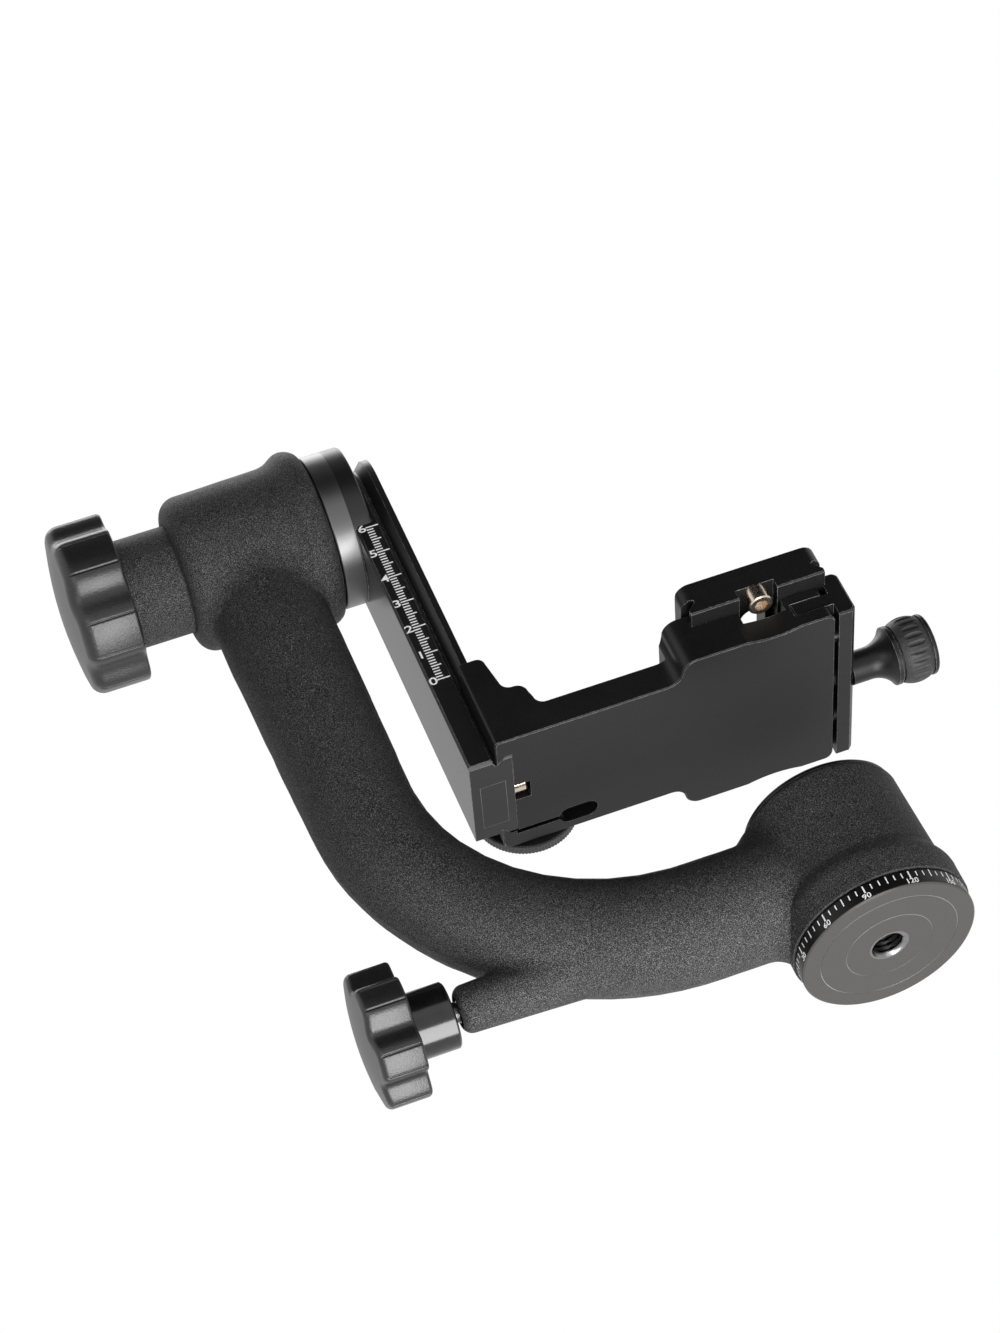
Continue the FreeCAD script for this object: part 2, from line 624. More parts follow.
def tilt_housing_form():
    left, right = HOUSING_LEFT_X, HOUSING_RIGHT_X
    corner = (left + HOUSING_ROUND, HOUSING_LEFT_R - HOUSING_ROUND)
    rim_x = right - RIM_W
    crest_x = right - RIM_W * 0.38
    rise = RIM_BULGE
    rim_r = HOUSING_MID_R + RIM_BULGE
    return turned_x(outline((left, 0), (left, HOUSING_LEFT_R - HOUSING_ROUND),
                            (arc_middle(corner, HOUSING_ROUND, 135), (left + HOUSING_ROUND, HOUSING_LEFT_R)),
                            (rim_x, HOUSING_MID_R),
                            ((rim_x + RIM_W * 0.2, HOUSING_MID_R + rise * 0.2),
                             (rim_x + RIM_W * 0.36, HOUSING_MID_R + rise * 0.6)),
                            ((crest_x, rim_r), (right - RIM_W * 0.12, HOUSING_MID_R + rise * 0.62)),
                            ((right - RIM_W * 0.03, HOUSING_MID_R + rise * 0.2),
                             (right, HOUSING_MID_R - rise * 0.3)),
                            (right, 0)), TILT_Z)


def pan_boss_form():
    end = BOSS_TIP_X
    corner = (end + BOSS_ROUND, BOSS_TIP_R - BOSS_ROUND)
    return turned_x(outline((end, 0), (end, BOSS_TIP_R - BOSS_ROUND),
                            (arc_middle(corner, BOSS_ROUND, 135), (end + BOSS_ROUND, BOSS_TIP_R)),
                            (BOSS_ROOT_X, BOSS_ROOT_R), (BOSS_ROOT_X, 0)), LOCK_Z)


def arm_outside():
    """Arm, boss and housings grown into one casting, with a soft blend at each meeting line."""
    far = 400.0
    boss = pan_boss_form()
    lower = box(-far, far, -far, far, LOCK_Z - far, LOCK_Z)
    body = arm_form().fuse([boss.common(lower), boss.cut(lower)])

    def boss_radius(place):
        share = max(0.0, min(1.0, (place.z - LOCK_Z) / BOSS_TIP_R + 0.5))
        return BOSS_BLEND_R + (BOSS_CREASE_R - BOSS_BLEND_R) * share

    body = blended(body, lambda e: is_seam(e) and e.BoundBox.XMax < BOSS_ROOT_X + BOSS_ROOT_R
                   and e.BoundBox.XMin > BOSS_TIP_X + BOSS_ROUND
                   and e.BoundBox.ZMax < LOCK_Z + 2 * BOSS_ROOT_R and e.Length < far / 4, boss_radius)
    body = union(body, wall_form())
    body = blended(body, lambda e: is_seam(e) and e.BoundBox.XMin > -SKIRT_R - BASE_BLEND_R
                   and e.Length < far / 4, lambda place: BASE_BLEND_R)
    body = union(body.cut(wall_trim()), skirt_form())

    centre_x = ARM_TOP_X - ARM_LEAN * (TILT_Z - ARM_BEND_Z)
    housing = tilt_housing_form()
    knob_side = box(-far, centre_x, -far, far, 0, far)
    body = body.fuse([housing.common(knob_side), housing.cut(knob_side)])

    def tilt_radius(place):
        return TILT_CREASE_R + (TILT_BLEND_R - TILT_CREASE_R) * min(1.0, abs(place.y) / ARM_R_TOP)

    return blended(body, lambda e: is_seam(e) and e.BoundBox.ZMin > TILT_Z - 2 * HOUSING_MID_R
                   and e.Length < far / 6, tilt_radius)


def arm_casting():
    body = arm_outside()
    bore_r = PAN_BEARING_R
    low_top = LOW_BEARING_Z + PAN_BEARING_W
    high_top = HIGH_BEARING_Z + PAN_BEARING_W
    drum_bore = DRUM_R + DRUM_ROOM
    pan_bore = turned_z(outline((0, ARM_BOTTOM_Z - 1), (NECK_R + 0.4, ARM_BOTTOM_Z - 1),
                                (NECK_R + 0.4, LOW_BEARING_Z), (bore_r, LOW_BEARING_Z),
                                (bore_r, low_top), (drum_bore, low_top), (drum_bore, HIGH_BEARING_Z),
                                (bore_r, HIGH_BEARING_Z), (bore_r, high_top),
                                (CAP_SPIGOT_R, high_top), (CAP_SPIGOT_R, HOUSING_TOP_Z + 1),
                                (0, HOUSING_TOP_Z + 1)))
    lip = TILT_BEARING_R - TILT_BEARING_LIP
    seat_l = BEARING_L_X + TILT_BEARING_W
    ring_x = HOUSING_RIGHT_X - FRICTION_RING_T + RUN
    tilt_bore = turned_x(outline((HOUSING_LEFT_X - 1, 0), (HOUSING_LEFT_X - 1, LOCK_BUSH_FLANGE_R + SEAT),
                                 (LOCK_FLANGE_X + LOCK_BUSH_FLANGE_T, LOCK_BUSH_FLANGE_R + SEAT),
                                 (LOCK_FLANGE_X + LOCK_BUSH_FLANGE_T, TILT_BEARING_R),
                                 (seat_l, TILT_BEARING_R), (seat_l, lip), (BEARING_R_X, lip),
                                 (BEARING_R_X, TILT_BEARING_R), (ring_x, TILT_BEARING_R),
                                 (ring_x, FRICTION_RING_R + SEAT),
                                 (HOUSING_RIGHT_X + 1, FRICTION_RING_R + SEAT),
                                 (HOUSING_RIGHT_X + 1, 0)), TILT_Z)
    pad_room_x = -drum_bore - PAN_PAD_LEN - 4.0
    lock_bore = cylinder_x(PAN_SCREW_R + RUN, BOSS_TIP_X - 1, pad_room_x, z=LOCK_Z)
    pad_bore = cylinder_x(PAN_PAD_R + RUN, pad_room_x, -drum_bore + 2, z=LOCK_Z)
    mouth = cylinder_x(BOSS_MOUTH_R, BOSS_TIP_X - 1, BOSS_TIP_X + BOSS_MOUTH_DEPTH, z=LOCK_Z)
    return body.cut([pan_bore, tilt_bore, lock_bore, pad_bore, mouth])


def tilt_bearings():
    bearings = [sealed_bearing_x(TILT_BEARING_R - SEAT, TILT_SHAFT_R + RUN, x, TILT_BEARING_W, TILT_Z)
                for x in (BEARING_L_X, BEARING_R_X)]
    return Part.makeCompound(bearings)


def tilt_friction_ring():
    x0 = HOUSING_RIGHT_X - FRICTION_RING_T + RUN
    x1 = HUB_LEFT_X - RUN
    bore = cylinder_x(FRICTION_RING_BORE, x0 - 1, x1 + 1, z=TILT_Z)
    return cylinder_x(FRICTION_RING_R, x0, x1, z=TILT_Z).cut(bore)


def tilt_lock_bush():
    pad_room = TILT_PAD_R + RUN
    thread = TILT_SCREW_R + RUN
    flange_end = LOCK_FLANGE_X + LOCK_BUSH_FLANGE_T
    room_x = PAD_BACK_X - LOCK_GAP
    return turned_x(outline((LOCK_FLANGE_X, thread), (LOCK_FLANGE_X, LOCK_BUSH_FLANGE_R),
                            (flange_end, LOCK_BUSH_FLANGE_R), (flange_end, TILT_BEARING_R - SEAT),
                            (LOCK_BUSH_END_X, TILT_BEARING_R - SEAT), (LOCK_BUSH_END_X, pad_room),
                            (room_x, pad_room), (room_x, thread)), TILT_Z)


def tilt_brake_pad():
    return cylinder_x(TILT_PAD_R, PAD_BACK_X, PAD_FACE_X, z=TILT_Z)


def tilt_lock_screw():
    tip = PAD_BACK_X - RUN
    head_x = KNOB_BACK_X - TILT_HEAD_COVER - TILT_SCREW_HEAD_T
    return turned_x(outline((head_x, 0), (head_x, TILT_SCREW_HEAD_R),
                            (head_x + TILT_SCREW_HEAD_T, TILT_SCREW_HEAD_R),
                            (head_x + TILT_SCREW_HEAD_T, TILT_SCREW_R), (tip - 1, TILT_SCREW_R),
                            (tip, TILT_SCREW_R - 1), (tip, 0)), TILT_Z)


def tilt_sleeve():
    inner = TILT_SCREW_R + 1.0
    return turned_x(outline((KNOB_BACK_X, inner), (KNOB_BACK_X, SLEEVE_R), (SLEEVE_END_X - 0.6, SLEEVE_R),
                            (SLEEVE_END_X, SLEEVE_R - 0.6), (SLEEVE_END_X, SLEEVE_BORE),
                            (KNOB_BACK_X + SLEEVE_END_WALL, SLEEVE_BORE),
                            (KNOB_BACK_X + SLEEVE_END_WALL, inner)), TILT_Z)


def tilt_knob():
    body = lobed_knob(TILT_KNOB_R, TILT_KNOB_LOBE_DEPTH, KNOB_FACE_X, KNOB_BACK_X, TILT_Z,
                      TILT_KNOB_PHASE, TILT_KNOB_CROWN, TILT_KNOB_DOME)
    head_x = KNOB_BACK_X - TILT_HEAD_COVER - TILT_SCREW_HEAD_T
    head = cylinder_x(TILT_SCREW_HEAD_R + SEAT, head_x, head_x + TILT_SCREW_HEAD_T, z=TILT_Z)
    shank = cylinder_x(TILT_SCREW_R + SEAT, head_x, KNOB_BACK_X + 1, z=TILT_Z)
    return body.cut([head, shank])


# ---------------------------------------------------------------- derived places: pan lock
PAN_PAD_FACE_X = -DRUM_R - LOCK_TRAVEL - LOCK_GAP
PAN_PAD_BACK_X = PAN_PAD_FACE_X - PAN_PAD_LEN
PAN_KNOB_BACK_X = PAN_COLLAR_X - PAN_COLLAR_LEN
PAN_KNOB_FACE_X = PAN_KNOB_BACK_X - PAN_KNOB_T


def pan_brake_pad():
    return cylinder_x(PAN_PAD_R, PAN_PAD_BACK_X, PAN_PAD_FACE_X, z=LOCK_Z)


def pan_push_rod():
    return cylinder_x(PAN_SCREW_R - RUN, PAN_SCREW_TIP_X + RUN, PAN_PAD_BACK_X, z=LOCK_Z)


def pan_lock_screw():
    head_x = PAN_KNOB_BACK_X - PAN_HEAD_COVER - PAN_SCREW_HEAD_T
    return turned_x(outline((head_x, 0), (head_x, PAN_SCREW_HEAD_R),
                            (head_x + PAN_SCREW_HEAD_T, PAN_SCREW_HEAD_R),
                            (head_x + PAN_SCREW_HEAD_T, PAN_SCREW_R), (PAN_SCREW_TIP_X - 0.6, PAN_SCREW_R),
                            (PAN_SCREW_TIP_X, PAN_SCREW_R - 0.6), (PAN_SCREW_TIP_X, 0)), LOCK_Z)


def pan_collar():
    bore = PAN_SCREW_R + SEAT
    end = PAN_COLLAR_X
    return turned_x(outline((PAN_KNOB_BACK_X, bore), (PAN_KNOB_BACK_X, PAN_COLLAR_R),
                            (end - 0.5, PAN_COLLAR_R), (end, PAN_COLLAR_R - 0.5), (end, bore)), LOCK_Z)


def pan_knob():
    body = lobed_knob(PAN_KNOB_R, PAN_KNOB_LOBE_DEPTH, PAN_KNOB_FACE_X, PAN_KNOB_BACK_X, LOCK_Z,
                      PAN_KNOB_PHASE, PAN_KNOB_CROWN, PAN_KNOB_DOME)
    head_x = PAN_KNOB_BACK_X - PAN_HEAD_COVER - PAN_SCREW_HEAD_T
    head = cylinder_x(PAN_SCREW_HEAD_R + SEAT, head_x, head_x + PAN_SCREW_HEAD_T, z=LOCK_Z)
    shank = cylinder_x(PAN_SCREW_R + SEAT, head_x, PAN_KNOB_BACK_X + 1, z=LOCK_Z)
    return body.cut([head, shank])


# ---------------------------------------------------------------- swing plate and axle
AXLE_SPIGOT_X = HUB_LEFT_X + AXLE_SPIGOT_LEN
AXLE_SINK_X = RAIL_OUT_X - AXLE_HEAD_SINK - AXLE_BOLT_HEAD_T
AXLE_TIP_X = AXLE_SINK_X - AXLE_BOLT_LEN
RAIL_FLANK_X = RAIL_OUT_X - RAIL_LAND
RAIL_NECK_X = RAIL_FLANK_X - RAIL_DEPTH
RAIL_NECK_HALF_W = RAIL_HALF_W - RAIL_DEPTH


def rail_section(grow):
    """Half section of the swing plate's rail side, as (x, half width); grow widens it for a pocket."""
    slant = grow * (math.sqrt(2) - 1)
    return [(RAIL_NECK_X - slant, RAIL_NECK_HALF_W + grow), (RAIL_FLANK_X - slant, RAIL_HALF_W + grow),
            (RAIL_OUT_X + grow, RAIL_HALF_W + grow)]


def swing_plate():
    half = [(SWING_LEFT_X, 0), (SWING_LEFT_X, SWING_HALF_W - 0.6), (SWING_LEFT_X + 0.6, SWING_HALF_W),
            (SWING_RIGHT_X, SWING_HALF_W), (RAIL_NECK_X - 0.6, RAIL_NECK_HALF_W)]
    half += rail_section(0)
    half += [(RAIL_OUT_X, 0)]
    side = half + [(x, -y) for x, y in reversed(half[1:-1])]
    stem = prism_z(outline(*side), SWING_BOTTOM_Z, TILT_Z)
    ends = [e for e in stem.Edges if e.BoundBox.ZMax < SWING_BOTTOM_Z + 0.1 and e.BoundBox.YLength < 0.1
            and abs(e.BoundBox.YMin) > SWING_HALF_W - 0.1]
    stem = stem.makeChamfer(SWING_END_CHAMFER, ends)
    end = turned_x(outline(*half), TILT_Z)
    hub = cylinder_x(HUB_R, HUB_LEFT_X, HUB_RIGHT_X, z=TILT_Z)
    hub = hub.makeFillet(0.8, [e for e in hub.Edges if len(e.Vertexes) == 1])
    body = union(stem, end, hub)
    spigot = cylinder_x(AXLE_SPIGOT_R + SEAT, HUB_LEFT_X - 1, AXLE_SPIGOT_X, z=TILT_Z)
    shank = cylinder_x(AXLE_BOLT_R + SEAT, AXLE_SPIGOT_X - 1, AXLE_SINK_X + 1, z=TILT_Z)
    sink = cylinder_x(AXLE_BOLT_HEAD_R + AXLE_HEAD_ROOM, AXLE_SINK_X, RAIL_OUT_X + 1, z=TILT_Z)
    stop = cylinder_x(STOP_SCREW_R + SEAT, RAIL_OUT_X + STOP_SCREW_OUT - STOP_SCREW_LEN, RAIL_OUT_X + 1,
                      z=STOP_SCREW_Z)
    return body.cut([spigot, shank, sink, stop])


def tilt_shaft():
    bore = AXLE_BOLT_R + SEAT
    body = turned_x(outline((SHAFT_END_X, 0), (SHAFT_END_X, TILT_SHAFT_R - 0.5),
                            (SHAFT_END_X + 0.5, TILT_SHAFT_R), (CIRCLIP_X, TILT_SHAFT_R),
                            (CIRCLIP_X, TILT_SHAFT_R - CIRCLIP_DEPTH),
                            (CIRCLIP_X + CIRCLIP_W, TILT_SHAFT_R - CIRCLIP_DEPTH),
                            (CIRCLIP_X + CIRCLIP_W, TILT_SHAFT_R), (HUB_LEFT_X, TILT_SHAFT_R),
                            (HUB_LEFT_X, AXLE_SPIGOT_R), (AXLE_SPIGOT_X, AXLE_SPIGOT_R),
                            (AXLE_SPIGOT_X, bore), (AXLE_TIP_X - 1, bore), (AXLE_TIP_X - 1, 0)), TILT_Z)
    return body


def tilt_spacer():
    x0 = BEARING_L_X + TILT_BEARING_W + RUN
    x1 = BEARING_R_X - RUN
    wall = 2.0
    return cylinder_x(TILT_SHAFT_R + wall, x0, x1, z=TILT_Z).cut(
        cylinder_x(TILT_SHAFT_R + SEAT, x0 - 1, x1 + 1, z=TILT_Z))


def tilt_circlip():
    root = TILT_SHAFT_R - CIRCLIP_DEPTH + SEAT
    ring = cylinder_x(CIRCLIP_R, CIRCLIP_X + RUN / 2, CIRCLIP_X + CIRCLIP_W - RUN / 2, z=TILT_Z)
    ring = ring.cut(cylinder_x(root, CIRCLIP_X - 1, CIRCLIP_X + CIRCLIP_W + 1, z=TILT_Z))
    mouth = box(CIRCLIP_X - 1, CIRCLIP_X + CIRCLIP_W + 1, -2.5, 2.5, TILT_Z - CIRCLIP_R - 1, TILT_Z)
    return ring.cut(mouth)


def axle_bolt():
    face = RAIL_OUT_X - AXLE_HEAD_SINK
    body = turned_x(outline((AXLE_TIP_X, 0), (AXLE_TIP_X, AXLE_BOLT_R - 0.5), (AXLE_TIP_X + 0.5, AXLE_BOLT_R),
                            (AXLE_SINK_X, AXLE_BOLT_R), (AXLE_SINK_X, AXLE_BOLT_HEAD_R),
                            (face - 0.5, AXLE_BOLT_HEAD_R), (face, AXLE_BOLT_HEAD_R - 0.5), (face, 0)),
                    TILT_Z)
    socket = hexagon_prism_z(AXLE_BOLT_R * 0.85, 0, AXLE_BOLT_HEAD_T / 2 + 1, 0, 0)
    socket.rotate(vec(0, 0, 0), vec(0, 1, 0), 90)
    socket.translate(vec(face - AXLE_BOLT_HEAD_T / 2, 0, TILT_Z))
    return body.cut(socket)


def height_stop():
    x1 = RAIL_OUT_X + STOP_SCREW_OUT
    return turned_x(outline((x1 - STOP_SCREW_LEN, 0), (x1 - STOP_SCREW_LEN, STOP_SCREW_R),
                            (x1 - 0.5, STOP_SCREW_R), (x1, STOP_SCREW_R - 0.5), (x1, 0)), STOP_SCREW_Z)


# ---------------------------------------------------------------- L-shaped bracket
BRACKET_LEFT_X = RAIL_OUT_X - LIP_LEN
LOCK_BOLT_X = RAIL_OUT_X + LOCK_BOLT_INSET
SLIT_END_X = RAIL_OUT_X + SLIT_LEN
SLOT_END_X = SLIT_END_X + SLOT_LEN
CLAMP_CENTRE_X = RAIL_OUT_X + CLAMP_REACH
PLATFORM_END_X = CLAMP_CENTRE_X - JAW_WALL_BACK
SHOULDER_START_X = CLAMP_CENTRE_X - SHOULDER_BACK
SHOULDER_END_X = SHOULDER_START_X + SHOULDER_LEN
CLAMP_RIGHT_X = CLAMP_CENTRE_X + CLAMP_FRONT
MOVING_JAW_X = CLAMP_RIGHT_X + JAW_GAP
CLAMP_SCREW_TIP_X = MOVING_JAW_X - CLAMP_SCREW_REACH
PLATFORM_Z = SWING_BOTTOM_Z + PLATFORM_T
POCKET_X = RAIL_OUT_X + SLIDE
FLANGE_X = POCKET_X + FLANGE_WALL
QR_BOTTOM_Z = CLAMP_FLOOR_Z + RUN
QR_TOP_Z = QR_BOTTOM_Z + QR_T
QR_LAND_Z = QR_BOTTOM_Z + QR_LAND
QR_NECK_Z = QR_LAND_Z + QR_V_DEPTH
QR_ROOF_Z = QR_NECK_Z + QR_NECK
QR_LEFT_X = CLAMP_CENTRE_X - QR_HALF_W
QR_RIGHT_X = CLAMP_CENTRE_X + QR_HALF_W


def jaw_tooth(x_edge, inward, top_z):
    """Points of a jaw's gripping side, from the clamp floor up to the jaw's top; inward is +1 or -1."""
    wall_x = x_edge - inward * SLIDE
    foot_z = QR_LAND_Z + SLIDE * 0.4
    tip = min(QR_V_DEPTH - BODY_GAP, top_z - foot_z - JAW_TIP_LAND)
    return [(wall_x, CLAMP_FLOOR_Z), (wall_x, foot_z), (wall_x + inward * tip, foot_z + tip),
            (wall_x + inward * tip, top_z)]


def hollow_quarter(x, z, radius):
    """Hollow quarter arc from the wall at x down to the floor at z, as an outline move's two parts."""
    centre = (x + radius, z + radius)
    return (x, z + radius), (arc_middle(centre, radius, 225), (x + radius, z))


def bracket_side_wire():
    """Side view in X and Z: flange, bump round the lock bolt, platform, fixed jaw, clamp body."""
    left = BRACKET_LEFT_X
    bottom = SWING_BOTTOM_Z
    edge, round_r, bump_r = BRACKET_ROUND, FLANGE_ROUND, BUMP_ROUND
    flange_top_x = FLANGE_X - FLANGE_TAPER
    bump_right = LOCK_BOLT_X + BUMP_REACH
    points = [(left, bottom), (left, FLANGE_TOP_Z - edge),
              (arc_middle((left + edge, FLANGE_TOP_Z - edge), edge, 135), (left + edge, FLANGE_TOP_Z)),
              (flange_top_x - round_r, FLANGE_TOP_Z),
              (arc_middle((flange_top_x - round_r, FLANGE_TOP_Z - round_r), round_r, 45),
               (flange_top_x, FLANGE_TOP_Z - round_r)),
              *hollow_quarter(FLANGE_X, BUMP_TOP_Z, BUMP_HOLLOW),
              (bump_right - bump_r, BUMP_TOP_Z),
              (arc_middle((bump_right - bump_r, BUMP_TOP_Z - bump_r), bump_r, 45),
               (bump_right, BUMP_TOP_Z - bump_r)),
              *hollow_quarter(bump_right + BUMP_FLARE, PLATFORM_Z, BUMP_HOLLOW),
              (PLATFORM_END_X, PLATFORM_Z), (PLATFORM_END_X, JAW_TOP_Z - JAW_CHAMFER),
              (PLATFORM_END_X + JAW_CHAMFER, JAW_TOP_Z)]
    points += list(reversed(jaw_tooth(QR_LEFT_X, 1, JAW_TOP_Z)))
    points += [(CLAMP_RIGHT_X, CLAMP_FLOOR_Z), (CLAMP_RIGHT_X, bottom)]
    return outline(*points)


def s_curve(x0, y0, x1, y1):
    """Two equal arcs that leave (x0, y0) and reach (x1, y1) along X."""
    mid = ((x0 + x1) / 2, (y0 + y1) / 2)
    dx, dy = (x1 - x0) / 2, (y1 - y0) / 2
    radius = (dx * dx + dy * dy) / (2 * dy)
    half = math.asin(dx / radius) / 2 if abs(dx) < abs(radius) else math.pi / 4
    first = (x0 + radius * math.sin(half), y0 + radius * (1 - math.cos(half)))
    second = (x1 - radius * math.sin(half), y1 - radius * (1 - math.cos(half)))
    return [(first, mid), (second, (x1, y1))]


def bracket_plan_wire():
    """Plan view in X and Y: narrow platform, S-shaped shoulders, wide clamp with dipped sides."""
    narrow, wide, corner = BRACKET_HALF_W, CLAMP_HALF_W, CLAMP_ROUND
    left, right, centre = BRACKET_LEFT_X, CLAMP_RIGHT_X, CLAMP_CENTRE_X
    plain, claw = BRACKET_ROUND, CLAW_ROUND
    moves = [(SHOULDER_START_X, -narrow)]
    moves += s_curve(SHOULDER_START_X, -narrow, SHOULDER_END_X, -wide)
    moves += [(centre - DIP_HALF_LEN, -wide),
              ((centre, DIP_DEPTH - wide), (centre + DIP_HALF_LEN, -wide)),
              (right - corner, -wide),
              (arc_middle((right - corner, corner - wide), corner, -45), (right, corner - wide)),
              (right, wide - corner),
              (arc_middle((right - corner, wide - corner), corner, 45), (right - corner, wide)),
              (centre + DIP_HALF_LEN, wide),
              ((centre, wide - DIP_DEPTH), (centre - DIP_HALF_LEN, wide)),
              (SHOULDER_END_X, wide)]
    moves += s_curve(SHOULDER_END_X, wide, SHOULDER_START_X, narrow)
    moves += [(left + claw, narrow),
              (arc_middle((left + claw, narrow - claw), claw, 135), (left, narrow - claw)),
              (left, plain - narrow)]
    return outline((left + plain, -narrow), *moves,
                   (arc_middle((left + plain, plain - narrow), plain, 225), (left + plain, -narrow)))


def l_bracket():
    low, high = SWING_BOTTOM_Z - 1, FLANGE_TOP_Z + 1
    side = prism_y(bracket_side_wire(), -CLAMP_HALF_W - 1, CLAMP_HALF_W + 1)
    plan = prism_z(bracket_plan_wire(), low, high)
    body = side.common(plan)
    foot = [e for e in body.Edges if e.BoundBox.ZMax < SWING_BOTTOM_Z + 0.1]
    body = body.makeChamfer(BRACKET_CHAMFER, foot)
    pocket_half = [(BRACKET_LEFT_X - 2, 0), (BRACKET_LEFT_X - 2, RAIL_NECK_HALF_W + SLIDE)]
    pocket_half += rail_section(SLIDE)
    pocket = pocket_half + [(x, -y) for x, y in reversed(pocket_half[1:])]
    rail_pocket = prism_z(outline(*pocket), low, high)
    slit = box(POCKET_X - 0.5, SLIT_END_X + 1, SLIT_OUTER_Y - SLIT_W, SLIT_OUTER_Y, low, high)
    slot_y = SLIT_OUTER_Y - SLIT_W / 2
    radius = SLOT_W / 2
    slot = union(box(SLIT_END_X + radius, SLOT_END_X - radius, slot_y - radius, slot_y + radius, low, high),
                 cylinder_z(radius, low, high, SLIT_END_X + radius, slot_y),
                 cylinder_z(radius, low, high, SLOT_END_X - radius, slot_y))
    stop_room = STOP_SCREW_R + BODY_GAP
    stop_x = RAIL_OUT_X + STOP_SCREW_OUT + 0.6
    stop_pocket = union(cylinder_x(stop_room, POCKET_X - 0.5, stop_x, z=STOP_SCREW_Z),
                        box(POCKET_X - 0.5, stop_x, -stop_room, stop_room, low, STOP_SCREW_Z))
    bolt_y0 = BRACKET_HALF_W - LOCK_BOLT_LEN - 1.5
    bolt_hole = cylinder_y(LOCK_BOLT_R + RUN, bolt_y0, SLIT_OUTER_Y - SLIT_W / 2, LOCK_BOLT_X, LOCK_BOLT_Z)
    claw_hole = cylinder_y(LOCK_BOLT_R + 0.3, SLIT_OUTER_Y - SLIT_W / 2, BRACKET_HALF_W + 1,
                           LOCK_BOLT_X, LOCK_BOLT_Z)
    channel = box(CLAMP_CENTRE_X - CHANNEL_HALF_W, CLAMP_CENTRE_X + CHANNEL_HALF_W,
                  -CLAMP_HALF_W - 1, CLAMP_HALF_W + 1, CHANNEL_FLOOR_Z, CLAMP_FLOOR_Z + 1)
    screw_hole = cylinder_x(CLAMP_SCREW_R + RUN, CLAMP_SCREW_TIP_X - 0.6, CLAMP_RIGHT_X + 1, z=CLAMP_SCREW_Z)
    cuts = [rail_pocket, slit, slot, stop_pocket, bolt_hole, claw_hole, channel, screw_hole]
    tongue_x = MOVING_JAW_X - TONGUE_LEN - 0.5
    for side_sign in (-1, 1):
        inner = MOVING_JAW_HALF_LEN - TONGUE_W - SLIDE
        outer = CLAMP_HALF_W + 1
        y0, y1 = sorted((side_sign * inner, side_sign * outer))
        cuts.append(box(tongue_x, CLAMP_RIGHT_X + 1, y0, y1, TONGUE_BOTTOM_Z - SLIDE, TONGUE_TOP_Z + SLIDE))
        cuts.append(cylinder_x(GUIDE_PIN_R + RUN, MOVING_JAW_X - GUIDE_PIN_LEN + GUIDE_PIN_SEAT,
                               CLAMP_RIGHT_X + 1, side_sign * GUIDE_PIN_Y, CLAMP_SCREW_Z))
    return body.cut(cuts)


# ---------------------------------------------------------------- height lock
WASHER_Y = BRACKET_HALF_W + LOCK_BOLT_TRAVEL + LOCK_GAP
WHEEL_Y = WASHER_Y + LOCK_WASHER_T + RUN


def height_lock_washer():
    ring = cylinder_y(LOCK_WASHER_R, WASHER_Y, WASHER_Y + LOCK_WASHER_T, LOCK_BOLT_X, LOCK_BOLT_Z)
    return ring.cut(cylinder_y(LOCK_BOLT_R + RUN, WASHER_Y - 1, WASHER_Y + LOCK_WASHER_T + 1,
                               LOCK_BOLT_X, LOCK_BOLT_Z))


def height_lock_wheel():
    edge = LOCK_WHEEL_EDGE
    rim, face = LOCK_WHEEL_R, LOCK_WHEEL_T
    body = turned_z(outline((0, 0), (rim - edge, 0), (rim, edge), (rim, face - edge), (rim - edge, face),
                            (0, face)))
    body = body.cut(cylinder_z(LOCK_BOLT_R + SEAT, -1, LOCK_WHEEL_T - LOCK_WHEEL_WEB))
    body.rotate(vec(0, 0, 0), vec(1, 0, 0), -90)
    body.translate(vec(LOCK_BOLT_X, WHEEL_Y, LOCK_BOLT_Z))
    return body


def height_lock_bolt():
    y1 = WHEEL_Y + LOCK_WHEEL_T - LOCK_WHEEL_WEB - SEAT
    return cylinder_y(LOCK_BOLT_R, BRACKET_HALF_W - LOCK_BOLT_LEN, y1, LOCK_BOLT_X, LOCK_BOLT_Z)


# ---------------------------------------------------------------- screw clamp
JAW_OUT_X = MOVING_JAW_X + MOVING_JAW_T
SPINDLE_X = JAW_OUT_X + RUN
RING_X = SPINDLE_X + SPINDLE_LEN
GRIP_X = RING_X + SPINDLE_RING_T + GRIP_GROOVE_W
GRIP_END_X = RING_X + SPINDLE_RING_T + GRIP_LEN


